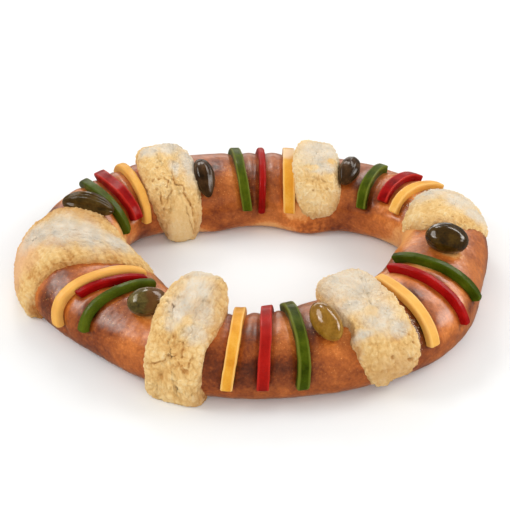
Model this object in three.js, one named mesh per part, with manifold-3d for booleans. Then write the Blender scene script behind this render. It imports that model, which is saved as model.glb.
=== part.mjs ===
// Rosca de reyes: an oval ring of sweet egg bread for Epiphany. On its crust lie six bands of baked
// sugar paste, six sets of three fruit-paste strips (yellow, red, green) and six candied fruits.
//
// Millimetres, +Z up. The origin is the middle of the base, +X runs along the oval.
// A place on the loaf has two angles, in degrees: "turn" goes round the ring from +X towards +Y,
// and "roll" goes round the loaf's section, 0 at the outer side, 90 on top, 180 at the hole side.
// "lift" is the height above the crust, along its normal.

import * as THREE from 'three';
import { mergeVertices } from 'three/addons/utils/BufferGeometryUtils.js';
import Module from 'manifold-3d';

// The ring: half axes of the loaf's middle line, and the loaf's mean width and height.
const RING_HALF_LENGTH = 172;
const RING_HALF_WIDTH = 119.6;
const LOAF_WIDTH = 83;
const LOAF_HEIGHT = 51;
const RING_SHIFT = [6.5, 8]; // puts the finished outline's middle over the origin

// The section: a rounded top on a fuller, flat-bottomed lower half.
const WIDEST_SHARE = 0.4; // height of the widest line, as a share of the loaf's height
const TOP_FULLNESS = 2.2; // superellipse exponents, 2 is an ellipse
const FOOT_FULLNESS = 2.8;
const FOOT_CUT = 1.2; // the lower half would reach this many times deeper, and the tray cuts it off

// Slow waves from shaping the dough by hand: [waves per turn, cosine share, sine share].
const PLAN_WAVES = [
  [2, -0.051, -0.004],
  [3, 0, 0.056],
  [4, -0.005, -0.002],
  [5, -0.01, -0.003],
  [6, -0.003, 0.013],
];
const WIDTH_WAVES = [[1, -0.038, -0.071], [2, 0.032, -0.032], [3, -0.049, -0.077], [4, 0, 0.043]];
const HEIGHT_WAVES = [[1, 0, 0.008], [2, 0, -0.018], [3, 0, -0.012]];

// Where the dough burst out below a crust, and sagged under two sets of strips: the turn and roll of
// each place, how far it spreads in degrees of turn and of roll, then mm outwards and mm up.
const SWELLINGS = [
  [74, 225, 10, 45, -13, 0],
  [107, 225, 8, 40, -7, 0],
  [142, 75, 12, 50, 0, -3],
  [44, 75, 12, 50, 0, -2.5],
];

// Facets of the loaf: steps round the ring, and steps over its section without the flat base.
const LOAF_TURNS = 84;
const LOAF_ROLLS = 18;
const SEAT_GAP = 0.35; // between a topping and whatever it lies on
const FLOOR_GAP = 0.4; // toppings stay this far above the base plane

// Sugar-paste crusts. Each row is a roll, the turns of the crust's two edges there and its thickness
// in mm. The first and last rows are its rounded ends.
const CRUSTS = [
  [
    [-75, 184, 199, 11],
    [-20, 177, 198.5, 10],
    [20, 171, 198, 8],
    [55, 168, 198.5, 11],
    [80, 163, 202, 12],
    [105, 162, 211, 9],
    [140, 166, 221, 5],
    [178, 175, 221, 3],
  ],
  [
    [0, 119, 126, 12],
    [60, 115, 127, 15],
    [90, 111.5, 129, 17],
    [130, 110.5, 130.5, 13],
    [174, 111, 128.5, 12],
    [215, 112.5, 124.5, 12],
    [248, 113.5, 122, 10],
  ],
  [
    [2, 68, 78, 11],
    [60, 68, 79.5, 14],
    [90, 65, 80, 14],
    [125, 62.5, 79.5, 12],
    [155, 61, 78.5, 11],
    [181, 61, 77.5, 8],
  ],
  [
    [2, 13, 26, 4],
    [35, 10, 29, 5],
    [60, 7, 31, 6],
    [90, 2, 33, 8],
    [118, 1, 33, 8],
    [140, 6, 31, 7],
    [162, 14, 26, 6],
  ],
  [
    [-26, 294, 301, 8],
    [0, 291.5, 303.5, 10],
    [35, 289.5, 305.8, 12],
    [60, 289, 306.2, 13],
    [90, 288, 307.5, 14],
    [130, 289, 308, 17],
    [185, 290, 305, 16],
  ],
  [
    [-110, 249.5, 257.5, 14],
    [-50, 248.5, 258.5, 15],
    [-20, 246.5, 258.5, 13],
    [0, 246.5, 258, 11],
    [50, 245.5, 258.5, 13],
    [90, 242, 260.5, 18],
    [125, 240.5, 261, 30],
    [155, 241, 259.5, 30],
    [185, 242, 256, 22],
  ],
];
const CRUST_SQUARENESS = 4; // of its outline: 2 is an ellipse
const CRUST_SPOKES = 30;
const CRUST_RINGS = [0.3, 0.55, 0.74, 0.87, 0.95, 1];
const CRUST_LUMPS = 0.9; // mm, height of the lumps on its top
const CRUST_RAG = 0.05; // how ragged its outline is, as a share of its half width
const CRUST_ROOT = 4; // mm that it reaches down into the loaf, before its seat is cut
const RIM_POWER = 6; // how steep its rim is: 2 is round

// Fruit-paste strips, one of each colour for every gap between two crusts. turns: at roll 0, on top and
// at roll 180, as if the strip ran that far; rolls: its two cut ends.
const STRIP_THICKNESS = 5.5;
const STRIP_GAP = 0.6; // under its facets, which run straight between points on the loaf
const STRIP_STEP = 14; // degrees of roll for each facet
const STRIPS = {
  yellow: [
    { turns: [212.5, 214.7, 241.3], rolls: [-1, 123], width: 9.5 },
    { turns: [130.6, 131.8, 134.6], rolls: [20, 176], width: 8 },
    { turns: [82.8, 82, 80.6], rolls: [20, 175], width: 10 },
    { turns: [21.4, 37.5, 33.8], rolls: [55, 147], width: 9 },
    { turns: [309.8, 311.6, 314.8], rolls: [12, 122], width: 9.5 },
    { turns: [262.7, 264, 264.4], rolls: [-1, 160], width: 9.5 },
  ],
  red: [
    { turns: [213.6, 220, 245], rolls: [50, 117], width: 7.5 },
    { turns: [133.4, 139.6, 141.3], rolls: [20, 163], width: 11 },
    { turns: [91, 89.6, 90.2], rolls: [20, 178], width: 6.5 },
    { turns: [37.2, 45.1, 42.3], rolls: [45, 136], width: 10 },
    { turns: [321.8, 323.8, 330.8], rolls: [10, 131], width: 6.5 },
    { turns: [269.3, 271, 274.7], rolls: [0, 160], width: 9.5 },
  ],
  green: [
    { turns: [226.6, 226.4, 241], rolls: [11, 120], width: 8 },
    { turns: [139.4, 146.8, 160.4], rolls: [20, 167], width: 9.5 },
    { turns: [98.5, 97.1, 94.7], rolls: [20, 173], width: 9 },
    { turns: [47.3, 53.5, 51.2], rolls: [62, 157], width: 9 },
    { turns: [332, 333.9, 344.9], rolls: [16, 137], width: 8 },
    { turns: [277, 278.6, 279], rolls: [-1, 150], width: 10 },
  ],
};

// Candied fruits. size: length, width and height, heading: degrees from lying across the loaf,
// ribs: depth of their lengthwise wrinkles as a share of the radius.
const FRUITS = [
  { turn: 239, roll: 85, size: [33, 27, 22], heading: -32, ribs: 0.03 },
  { turn: 161.5, roll: 98, size: [48, 22, 20], heading: 0, ribs: 0.07 },
  { turn: 109, roll: 123, size: [42, 21, 18], heading: 6, ribs: 0.05 },
  { turn: 61, roll: 103, size: [37, 20, 18], heading: 0, ribs: 0.04 },
  { turn: 350, roll: 83, size: [38, 30, 25], heading: 0, ribs: 0.04 },
  { turn: 285, roll: 74, size: [40, 24, 23], heading: 13, ribs: 0 },
];
const FRUIT_SINK = 0.16; // share of its height that it is pressed into the loaf
const FRUIT_FACETS = [16, 11];
const RIB_COUNT = 7;
const OLIVE_FRUIT = 5; // index of the one that is paler than the others

const rad = THREE.MathUtils.degToRad;
const wave = (waves, turn) =>
  waves.reduce((sum, [n, c, s]) => sum + c * Math.cos(n * turn) + s * Math.sin(n * turn), 1);
const FOOT_ROLL = THREE.MathUtils.radToDeg(Math.asin((1 / FOOT_CUT) ** (FOOT_FULLNESS / 2)));

function middle(turn) {
  const reach = wave(PLAN_WAVES, turn);
  return new THREE.Vector2(
    RING_HALF_LENGTH * reach * Math.cos(turn) + RING_SHIFT[0],
    RING_HALF_WIDTH * reach * Math.sin(turn) + RING_SHIFT[1],
  );
}

function outward(turn) {
  const step = 1e-3;
  const run = middle(turn + step).sub(middle(turn - step)).normalize();
  return new THREE.Vector2(run.y, -run.x);
}

// How far the swellings move the loaf's surface: mm across, away from its middle line, and mm up.
function swelling(turnDegrees, rollDegrees) {
  const sum = new THREE.Vector2();
  for (const [turn, roll, turnSpread, rollSpread, across, up] of SWELLINGS) {
    const away = THREE.MathUtils.euclideanModulo(turnDegrees - turn + 180, 360) - 180;
    const share = Math.exp(-((away / turnSpread) ** 2) - ((rollDegrees - roll) / rollSpread) ** 2);
    sum.add(new THREE.Vector2(across * share, up * share));
  }
  return sum;
}

// The point of the loaf's surface at a turn and a roll, in degrees, lifted by lift mm.
function onLoaf(turnDegrees, rollDegrees, lift = 0) {
  const turn = rad(turnDegrees);
  const roll = rad(rollDegrees);
  const halfWidth = (LOAF_WIDTH * wave(WIDTH_WAVES, turn)) / 2;
  const height = LOAF_HEIGHT * wave(HEIGHT_WAVES, turn);
  const widest = WIDEST_SHARE * height;
  const top = Math.sin(roll) >= 0;
  const power = 2 / (top ? TOP_FULLNESS : FOOT_FULLNESS);
  const reach = top ? height - widest : -widest * FOOT_CUT;
  const across = halfWidth * Math.sign(Math.cos(roll)) * Math.abs(Math.cos(roll)) ** power;
  const up = widest + reach * Math.abs(Math.sin(roll)) ** power;
  const normal = new THREE.Vector2(
    Math.cos(roll) / halfWidth,
    Math.sin(roll) / Math.abs(reach),
  ).normalize();
  const swell = swelling(turnDegrees, rollDegrees);
  const place = middle(turn).addScaledVector(outward(turn), across + lift * normal.x + swell.x);
  return new THREE.Vector3(place.x, place.y, up + lift * normal.y + swell.y);
}

// Millimetres along the ring for each degree of turn, at a roll.
function turnLength(turn, roll) {
  return onLoaf(turn + 0.5, roll).distanceTo(onLoaf(turn - 0.5, roll));
}

// A closed mesh from points and quads or triangles of point numbers.
function meshOf(points, faces) {
  const geometry = new THREE.BufferGeometry().setFromPoints(points);
  geometry.setIndex(faces.flatMap((f) => (f.length === 4 ? [f[0], f[1], f[2], f[0], f[2], f[3]] : f)));
  return geometry;
}

// The loaf, a closed tube with a flat base. lift grows it, to cut seats into the toppings.
function loafGeometry(lift = 0) {
  const rows = LOAF_ROLLS + 1;
  const points = [];
  const faces = [];
  for (let i = 0; i < LOAF_TURNS; i++) {
    for (let j = 0; j < rows; j++) {
      const roll = THREE.MathUtils.lerp(-FOOT_ROLL, 180 + FOOT_ROLL, j / LOAF_ROLLS);
      const point = onLoaf((360 * i) / LOAF_TURNS, roll, lift);
      if (j === 0 || j === LOAF_ROLLS) point.z = -lift;
      points.push(point);
    }
  }
  const at = (i, j) => (i % LOAF_TURNS) * rows + (j % rows);
  for (let i = 0; i < LOAF_TURNS; i++) {
    for (let j = 0; j < rows; j++) faces.push([at(i, j), at(i + 1, j), at(i + 1, j + 1), at(i, j + 1)]);
  }
  return meshOf(points, faces);
}

// Gentle lumps, the same on every build, different for each seed.
function lumps(x, y, seed) {
  return (
    Math.sin(0.31 * x + 1.7 * seed) * Math.sin(0.23 * y + 2.9 * seed) +
    0.6 * Math.sin(0.57 * x + 0.41 * y + 4.1 * seed)
  ) / 1.6;
}

// The turns of a crust's edges and its thickness at a roll, on smooth curves through its rows.
function crustRow(rows, roll) {
  const above = rows.findIndex((row) => row[0] > roll);
  const i = above < 0 ? rows.length - 2 : Math.max(0, above - 1);
  const share = THREE.MathUtils.clamp((roll - rows[i][0]) / (rows[i + 1][0] - rows[i][0]), 0, 1);
  const along = (i + share) / (rows.length - 1);
  const edges = new THREE.SplineCurve(rows.map((row) => new THREE.Vector2(row[1], row[2]))).getPoint(along);
  const thickness = new THREE.SplineCurve(rows.map((row) => new THREE.Vector2(row[3]))).getPoint(along);
  return [edges.x, edges.y, thickness.x];
}

// A sugar crust: a lens over a rounded patch of the loaf, steep at its rim, sunk into the loaf below.
function crustGeometry(crust, seed) {
  const outer = crust[0][0];
  const inner = crust[crust.length - 1][0];
  const points = [];
  const faces = [];
  const point = (share, spoke, lift) => {
    const angle = (2 * Math.PI * spoke) / CRUST_SPOKES;
    const round = (v) => Math.sign(v) * Math.abs(v) ** (2 / CRUST_SQUARENESS);
    const rag = 1 + CRUST_RAG * Math.sin(5 * angle + seed) * Math.sin(3 * angle + 2 * seed);
    const x = share * rag * round(Math.cos(angle));
    const y = share * rag * round(Math.sin(angle));
    const roll = (outer + inner) / 2 + (y * (inner - outer)) / 2;
    const [from, to, thick] = crustRow(crust, roll);
    const turn = (from + to) / 2 + (x * (to - from)) / 2;
    const rise = thick + CRUST_LUMPS * lumps(3 * turn, roll, seed);
    return onLoaf(turn, roll, lift < 0 ? lift : lift * rise);
  };
  const shares = [0, ...CRUST_RINGS];
  const rows = [
    ...shares.map((share) => [share, share === 1 ? -CRUST_ROOT / 2 : (1 - share ** RIM_POWER) ** 0.5]),
    ...[0.8, 0.4, 0].map((share) => [share, -CRUST_ROOT]),
  ];
  rows.forEach(([share, lift]) => {
    const spokes = share === 0 ? 1 : CRUST_SPOKES;
    for (let k = 0; k < spokes; k++) points.push(point(share, k, lift));
  });
  const first = (row) => (row === 0 ? 0 : 1 + (row - 1) * CRUST_SPOKES);
  for (let row = 0; row + 1 < rows.length; row++) {
    for (let k = 0; k < CRUST_SPOKES; k++) {
      const next = (k + 1) % CRUST_SPOKES;
      const a = first(row);
      const b = first(row + 1);
      if (row === 0) faces.push([a, b + k, b + next]);
      else if (row + 2 === rows.length) faces.push([b, a + next, a + k]);
      else faces.push([a + k, b + k, b + next, a + next]);
    }
  }
  return meshOf(points, faces);
}

// A fruit-paste strip: a square-cut bar laid over the loaf. grow makes it larger on every side.
function stripGeometry(strip, grow = 0) {
  const [from, to] = strip.rolls;
  const steps = Math.round((to - from) / STRIP_STEP);
  const halfWidth = strip.width / 2 + grow;
  const spare = grow / turnLength(0, 90);
  const points = [];
  const faces = [];
  for (let i = 0; i <= steps; i++) {
    const roll = THREE.MathUtils.lerp(from - spare, to + spare, i / steps);
    const [outer, top, inner] = strip.turns;
    const side = (roll - 90) / 90;
    const turn = top + (side * (inner - outer + side * (inner + outer - 2 * top))) / 2;
    const half = halfWidth / turnLength(turn, roll);
    const low = STRIP_GAP - grow;
    const high = STRIP_THICKNESS + grow;
    for (const [edge, lift] of [[-1, low], [-1, high], [1, high], [1, low]]) {
      points.push(onLoaf(turn + edge * half, roll, lift));
    }
  }
  for (let i = 0; i < steps; i++) {
    for (let k = 0; k < 4; k++) {
      const a = 4 * i + k;
      const b = 4 * i + ((k + 1) % 4);
      faces.push([a, b, b + 4, a + 4]);
    }
  }
  faces.push([3, 2, 1, 0], [4 * steps, 4 * steps + 1, 4 * steps + 2, 4 * steps + 3]);
  return meshOf(points, faces);
}

// A candied fruit: a wrinkled ellipsoid lying across the loaf, pressed into it.
function fruitGeometry(fruit, grow = 0) {
  const [length, width, height] = fruit.size;
  const across = onLoaf(fruit.turn, fruit.roll + 1).sub(onLoaf(fruit.turn, fruit.roll - 1)).normalize();
  const seat = onLoaf(fruit.turn, fruit.roll);
  const up = onLoaf(fruit.turn, fruit.roll, 1).sub(seat).normalize();
  const along = new THREE.Vector3().crossVectors(across, up).normalize();
  const ball = new THREE.SphereGeometry(1, FRUIT_FACETS[0], FRUIT_FACETS[1]);
  const spots = ball.getAttribute('position');
  const spot = new THREE.Vector3();
  for (let i = 0; i < spots.count; i++) {
    spot.fromBufferAttribute(spots, i);
    const round = Math.atan2(spot.z, spot.x);
    const ribbed = 1 + fruit.ribs * Math.cos(RIB_COUNT * round) * Math.hypot(spot.x, spot.z);
    spots.setXYZ(i, spot.x * ribbed, spot.y, spot.z * ribbed);
  }
  const turned = new THREE.Matrix4()
    .makeBasis(along, across, up.clone())
    .multiply(new THREE.Matrix4().makeRotationZ(rad(fruit.heading)))
    .multiply(new THREE.Matrix4().makeScale(width / 2 + grow, length / 2 + grow, height / 2 + grow));
  ball.applyMatrix4(turned);
  const rise = seat.addScaledVector(up, height * (0.5 - FRUIT_SINK));
  return ball.translate(rise.x, rise.y, rise.z);
}

const wasm = await Module();
wasm.setup();

function solidOf(geometry) {
  const bare = geometry.index ? geometry.toNonIndexed() : geometry.clone();
  bare.deleteAttribute('normal');
  bare.deleteAttribute('uv');
  const merged = mergeVertices(bare, 1e-4);
  const mesh = { numProp: 3, vertProperties: merged.attributes.position.array };
  return new wasm.Manifold(new wasm.Mesh({ ...mesh, triVerts: new Uint32Array(merged.index.array) }));
}

// The largest body of a solid, as a geometry: a cut may leave a loose scrap beside it.
function geometryOf(solid) {
  const [body] = solid.decompose().sort((a, b) => b.volume() - a.volume());
  const mesh = body.getMesh();
  const geometry = new THREE.BufferGeometry();
  geometry.setAttribute('position', new THREE.BufferAttribute(mesh.vertProperties, 3));
  geometry.setIndex(new THREE.BufferAttribute(mesh.triVerts, 1));
  return geometry;
}

const looks = {
  bread: { color: 0xb4642c, roughness: 0.4 },
  crust: { color: 0xe8c488, roughness: 0.9 },
  yellow: { color: 0xeeb045, roughness: 0.45 },
  red: { color: 0xb01418, roughness: 0.4 },
  green: { color: 0x3f6418, roughness: 0.4 },
  darkFruit: { color: 0x4a3216, roughness: 0.25 },
  oliveFruit: { color: 0x856422, roughness: 0.25 },
};

const rosca = new THREE.Group();
function add(name, geometry, look) {
  const mesh = new THREE.Mesh(geometry, new THREE.MeshStandardMaterial({ ...look, metalness: 0 }));
  mesh.name = name;
  rosca.add(mesh);
}

function floorCutter() {
  const [width, depth] = [600, 50];
  return solidOf(new THREE.BoxGeometry(width, width, depth).translate(0, 0, FLOOR_GAP - depth / 2));
}

// Adds the strips and returns them all as one solid, grown by the gap.
function addStrips() {
  const cutters = [];
  for (const [colour, places] of Object.entries(STRIPS)) {
    places.forEach((place, i) => {
      add(`strip_${colour}_${i + 1}`, stripGeometry(place), looks[colour]);
      cutters.push(solidOf(stripGeometry(place, SEAT_GAP)));
    });
  }
  return wasm.Manifold.union(cutters);
}

// Adds the fruits, bedded on the loaf and the strips, and returns them all as one grown solid.
function addFruits(bed) {
  FRUITS.forEach((fruit, i) => {
    const look = i === OLIVE_FRUIT ? looks.oliveFruit : looks.darkFruit;
    add(`candied_fruit_${i + 1}`, geometryOf(solidOf(fruitGeometry(fruit)).subtract(bed)), look);
  });
  return wasm.Manifold.union(FRUITS.map((fruit) => solidOf(fruitGeometry(fruit, SEAT_GAP))));
}

function addCrusts(bed) {
  CRUSTS.forEach((crust, i) => {
    add(`sugar_crust_${i + 1}`, geometryOf(solidOf(crustGeometry(crust, i + 1)).subtract(bed)), looks.crust);
  });
}

add('bread_ring', loafGeometry(), looks.bread);
const bed = solidOf(loafGeometry(SEAT_GAP)).add(floorCutter()).add(addStrips());
addCrusts(bed.add(addFruits(bed)));

export default rosca;
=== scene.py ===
import math
from itertools import product

import bmesh
import bpy
import numpy as np
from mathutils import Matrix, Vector


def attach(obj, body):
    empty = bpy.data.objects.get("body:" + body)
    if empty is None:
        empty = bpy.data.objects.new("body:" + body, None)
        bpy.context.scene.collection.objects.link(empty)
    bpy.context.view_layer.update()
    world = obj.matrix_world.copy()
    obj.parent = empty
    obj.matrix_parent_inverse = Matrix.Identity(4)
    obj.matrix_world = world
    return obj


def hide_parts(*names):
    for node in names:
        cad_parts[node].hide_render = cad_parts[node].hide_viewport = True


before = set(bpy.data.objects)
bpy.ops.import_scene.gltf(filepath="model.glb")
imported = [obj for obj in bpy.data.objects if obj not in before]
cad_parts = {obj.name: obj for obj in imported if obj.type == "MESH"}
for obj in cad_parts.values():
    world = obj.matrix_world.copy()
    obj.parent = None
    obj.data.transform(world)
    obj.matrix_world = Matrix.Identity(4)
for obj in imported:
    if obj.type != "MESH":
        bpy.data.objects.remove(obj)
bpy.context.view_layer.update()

MM = 0.001

# ---- sizes, in mm
# turn goes round the ring from +X towards +Y, roll goes round the loaf's section: 0 is the outer
# side, 90 the top, 180 the hole side. Both are in degrees. lift is the height above the loaf.
# The values are the CAD source's, apart from crust 5's first rows, strip_yellow_3 and
# candied_fruit_6, which are fitted to the photo more closely, by 3 mm at most.
RING_HALF_LENGTH = 172  # of the loaf's middle line
RING_HALF_WIDTH = 119.6
LOAF_WIDTH = 83
LOAF_HEIGHT = 51
RING_SHIFT = (6.5, 8)  # of the middle line, so that the outline's middle is over the origin
WIDEST_SHARE = 0.4  # height of the loaf's widest line, as a share of the loaf's
TOP_FULLNESS = 2.2  # of the section above that line: 2 is an ellipse
FOOT_FULLNESS = 2.8  # and below it
FOOT_CUT = 1.2  # the part below would be this many times as deep, but the flat base cuts it off

# Slow waves from shaping by hand: how many go round the ring, cosine share, sine share.
PLAN_WAVES = (
    (2, -0.051, -0.004), (3, 0, 0.056), (4, -0.005, -0.002), (5, -0.01, -0.003), (6, -0.003, 0.013),
)
WIDTH_WAVES = ((1, -0.038, -0.071), (2, 0.032, -0.032), (3, -0.049, -0.077), (4, 0, 0.043))
HEIGHT_WAVES = ((1, 0, 0.008), (2, 0, -0.018), (3, 0, -0.012))
FOOT_ROLL = math.degrees(math.asin((1 / FOOT_CUT) ** (FOOT_FULLNESS / 2)))

# mm that the loaf swells outwards and upwards: turn, roll, spreads in degrees, mm.
OUTWARDS = ((74, 225, 10, 45, -13), (107, 225, 8, 40, -7))
UPWARDS = ((142, 75, 12, 50, -3), (44, 75, 12, 50, -2.5))

# Each crust's rows: roll, the turns of its two edges there, thickness.
CRUSTS = (
    (
        (-75, 184, 199, 11), (-20, 177, 198.5, 10), (20, 171, 198, 8), (55, 168, 198.5, 11),
        (80, 163, 202, 12), (105, 162, 211, 9), (140, 166, 221, 5), (178, 175, 221, 3),
    ),
    (
        (0, 119, 126, 12), (60, 115, 127, 15), (90, 111.5, 129, 17), (130, 110.5, 130.5, 13),
        (174, 111, 128.5, 12), (215, 112.5, 124.5, 12), (248, 113.5, 122, 10),
    ),
    (
        (2, 68, 78, 11), (60, 68, 79.5, 14), (90, 65, 80, 14), (125, 62.5, 79.5, 12), (155, 61, 78.5, 11),
        (181, 61, 77.5, 8),
    ),
    (
        (2, 13, 26, 4), (35, 10, 29, 5), (60, 7, 31, 6), (90, 2, 33, 8), (118, 1, 33, 8), (140, 6, 31, 7),
        (162, 14, 26, 6),
    ),
    (
        (-26, 293, 304.5, 8), (0, 291, 306, 10), (35, 289.5, 306.5, 12), (60, 289, 306.5, 13),
        (90, 288, 307.5, 14), (130, 289, 308, 17), (185, 290, 305, 16),
    ),
    (
        (-110, 249.5, 257.5, 14), (-50, 248.5, 258.5, 15), (-20, 246.5, 258.5, 13), (0, 246.5, 258, 11),
        (50, 245.5, 258.5, 13), (90, 242, 260.5, 18), (125, 240.5, 261, 30), (155, 241, 259.5, 30),
        (185, 242, 256, 22),
    ),
)
CRUST_SQUARENESS = 4

# Each strip: turns at roll 0, 90 and 180, rolls of its cut ends, width, thickness and the radius of
# its section's corners.
STRIPS = {
    "yellow": (
        ((212.5, 214.7, 241.3), (-1, 123), 9.5, 6.2, 2.9),
        ((130.6, 131.8, 134.6), (20, 176), 8, 5.8, 2.2),
        ((82.2, 81.2, 79.8), (20, 175), 10.8, 5.6, 0.7),
        ((21.4, 37.5, 33.8), (55, 147), 9, 5.5, 1.2),
        ((309.8, 311.6, 314.8), (12, 122), 9.5, 5.6, 1.5),
        ((262.7, 264, 264.4), (-1, 160), 9.5, 5.6, 0.8),
    ),
    "red": (
        ((213.6, 220, 245), (50, 117), 7.5, 5, 2.2),
        ((133.4, 139.6, 141.3), (20, 163), 11, 6, 1.3),
        ((91, 89.6, 90.2), (20, 178), 6.5, 5.2, 2.2),
        ((37.2, 45.1, 42.3), (45, 136), 10, 5.5, 1),
        ((321.8, 323.8, 330.8), (10, 131), 6.5, 5.8, 1.8),
        ((269.3, 271, 274.7), (0, 160), 9.5, 5.5, 0.9),
    ),
    "green": (
        ((226.6, 226.4, 241), (11, 120), 8, 6, 2.8),
        ((139.4, 146.8, 160.4), (20, 167), 9.5, 5.5, 2),
        ((98.5, 97.1, 94.7), (20, 173), 9, 5.5, 1),
        ((47.3, 53.5, 51.2), (62, 157), 9, 5.5, 1),
        ((332, 333.9, 344.9), (16, 137), 8, 6, 1.9),
        ((277, 278.6, 279), (-1, 150), 10, 5.6, 1.4),
    ),
}

# Candied fruits: turn, roll, (length, width, height), heading in degrees from lying across the loaf,
# depth of the wrinkles as a share, how pointed the end at the hole side is, mm that it bends over the
# loaf, and its kind.
FRUITS = (
    (239, 85, (33, 27, 22), -32, 0.03, 0.1, 0, "mossy"),
    (161.5, 98, (48, 22, 20), 0, 0.12, 0.2, 3, "pod"),
    (109, 123, (42, 21, 18), 6, 0.05, 0.7, 1, "dark_brown"),
    (61, 103, (37, 20, 18), 0, 0.04, 0.3, 1, "dark_brown"),
    (350, 83, (38, 30, 25), 0, 0.02, 0, 0, "glossy"),
    (285, 76, (41, 22.5, 23), 7, 0, 0, 0, "olive"),
)
FRUIT_SINK = 0.16  # share of its height that a fruit sinks in
RIB_COUNT = 7


# ---- noise
TEN_BITS = 1023


def scramble(places, seed):
    """Turns rows of three whole numbers into 32 bits that look random, the same ones each time."""
    x, y, z = places.T
    h = (x * 374761393 + y * 668265263 + z * 2147483647 + seed * 1274126177) & 0xFFFFFFFF
    h = ((h ^ (h >> 13)) * 1103515245) & 0xFFFFFFFF
    h = ((h ^ (h >> 16)) * 2246822519) & 0xFFFFFFFF
    return h ^ (h >> 13)


def noise(points, size, seed):
    """Gradient noise from -1 to 1 at points in mm, with features of about size mm."""
    p = np.reshape(points, (-1, 3)) / size
    base = np.floor(p).astype(np.int64)
    share = p - base
    share = share * share * share * (share * (share * 6 - 15) + 10)
    total = np.zeros(len(p))
    for corner in product((0, 1), repeat=3):
        h = scramble(base + corner, seed)
        angle = (h & TEN_BITS) / TEN_BITS * 2 * np.pi
        z = ((h >> 10) & TEN_BITS) / TEN_BITS * 2 - 1
        r = np.sqrt(1 - z * z)
        dx, dy, dz = (p - base - corner).T
        slope = dx * r * np.cos(angle) + dy * r * np.sin(angle) + dz * z
        total += slope * np.where(corner, share, 1 - share).prod(axis=1)
    return np.clip(total * 1.7, -1, 1).reshape(np.shape(points)[:-1])


def layered(points, size, seed):
    """Noise with two finer layers on it."""
    return sum(noise(points, size / 2**k, seed + 17 * k) / 2**k for k in range(3)) / 1.5


def cells(points, size, seed):
    """Distances to the nearest and the second of scattered centres, as shares of size."""
    p = np.reshape(points, (-1, 3)) / size
    base = np.floor(p).astype(np.int64)
    first = np.full(len(p), 9.0)
    second = first.copy()
    for step in product((-1, 0, 1), repeat=3):
        cell = base + step
        h = scramble(cell, seed)
        centre = cell + np.stack([h & 255, (h >> 8) & 255, (h >> 16) & 255], 1) / 255
        d = np.linalg.norm(p - centre, axis=1)
        second = np.where(d < first, first, np.minimum(second, d))
        first = np.minimum(first, d)
    shape = np.shape(points)[:-1]
    return first.reshape(shape), second.reshape(shape)


def warp(points, amount, size, seed):
    """The points moved about by noise, so that drawn shapes come out uneven."""
    moves = [noise(points, size, seed + k) for k in (0, 1, 2)]
    return points + amount * np.stack(moves, -1)


def smoothstep(low, high, x):
    """0 up to low, 1 from high on and smooth between. With low above high it falls instead."""
    t = np.clip((x - low) / (high - low), 0, 1)
    return t * t * (3 - 2 * t)


def unit(vectors):
    return vectors / np.maximum(np.linalg.norm(vectors, axis=-1, keepdims=True), 1e-9)


# ---- the loaf's surface
def wave(waves, turn):
    """1 plus the waves, at a turn in radians."""
    return sum((c * np.cos(n * turn) + s * np.sin(n * turn) for n, c, s in waves), 1)


def middle(turn):
    """The loaf's middle line in plan, at a turn in radians."""
    reach = wave(PLAN_WAVES, turn)
    return np.stack([
        RING_HALF_LENGTH * reach * np.cos(turn) + RING_SHIFT[0],
        RING_HALF_WIDTH * reach * np.sin(turn) + RING_SHIFT[1],
    ], -1)


def away(turn, other):
    """Degrees from one turn to another, the short way round."""
    return (turn - other + 180) % 360 - 180


def spots(table, turn, roll):
    """Sum of soft spots: turn, roll, spreads and, unless it is 1, the amount."""
    total = np.zeros(np.shape(turn))
    for t, r, turn_spread, roll_spread, *amount in table:
        share = np.exp(-((away(turn, t) / turn_spread) ** 2) - ((roll - r) / roll_spread) ** 2)
        total = total + (amount[0] if amount else 1) * share
    return total


def on_loaf(turn, roll, lift=0):
    """Points in mm on the loaf's surface, lifted along its section's normal."""
    turn, roll, lift = (np.asarray(v, float) for v in np.broadcast_arrays(turn, roll, lift))
    t, a = np.radians(turn), np.radians(roll)
    run = unit(middle(t + 1e-3) - middle(t - 1e-3))
    half = LOAF_WIDTH * wave(WIDTH_WAVES, t) / 2
    height = LOAF_HEIGHT * wave(HEIGHT_WAVES, t)
    widest = WIDEST_SHARE * height
    s, c = np.sin(a), np.cos(a)
    power = np.where(s >= 0, 2 / TOP_FULLNESS, 2 / FOOT_FULLNESS)
    reach = np.where(s >= 0, height - widest, -widest * FOOT_CUT)
    nx, nz = c / half, s / np.abs(reach)
    size = np.hypot(nx, nz)
    across = half * np.sign(c) * np.abs(c) ** power + lift * nx / size + spots(OUTWARDS, turn, roll)
    up = widest + reach * np.abs(s) ** power + lift * nz / size + spots(UPWARDS, turn, roll)
    m = middle(t)
    return np.stack([m[..., 0] + run[..., 1] * across, m[..., 1] - run[..., 0] * across, up], -1)


def spread(turn, roll):
    """mm along the ring for each degree of turn."""
    return np.linalg.norm(on_loaf(turn + 0.5, roll) - on_loaf(turn - 0.5, roll), axis=-1)


def turned(along, over, degrees):
    """Two directions, both turned from the first towards the second."""
    c, s = math.cos(math.radians(degrees)), math.sin(math.radians(degrees))
    return c * along + s * over, c * over - s * along


def patch(points, turn, roll, lift, half_turn, half_roll, tilt=0, taper=0):
    """Distance from the middle of an oval on the loaf, 1 at its edge. Its half sizes are in mm, tilt
    turns it, taper widens it towards the hole side."""
    centre = on_loaf(turn, roll, lift)
    along = unit(on_loaf(turn + 1, roll, lift) - centre)
    over = unit(on_loaf(turn, roll + 1, lift) - centre)
    along, over = turned(along, over, tilt)
    u, v, w = ((points - centre) @ axis for axis in (along, over, np.cross(along, over)))
    wide = half_turn * np.clip(1 + taper * v / half_roll, 0.25, 3)
    return np.sqrt((u / wide) ** 2 + (v / half_roll) ** 2 + (w / (1.2 * (half_turn + half_roll))) ** 2)


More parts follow.
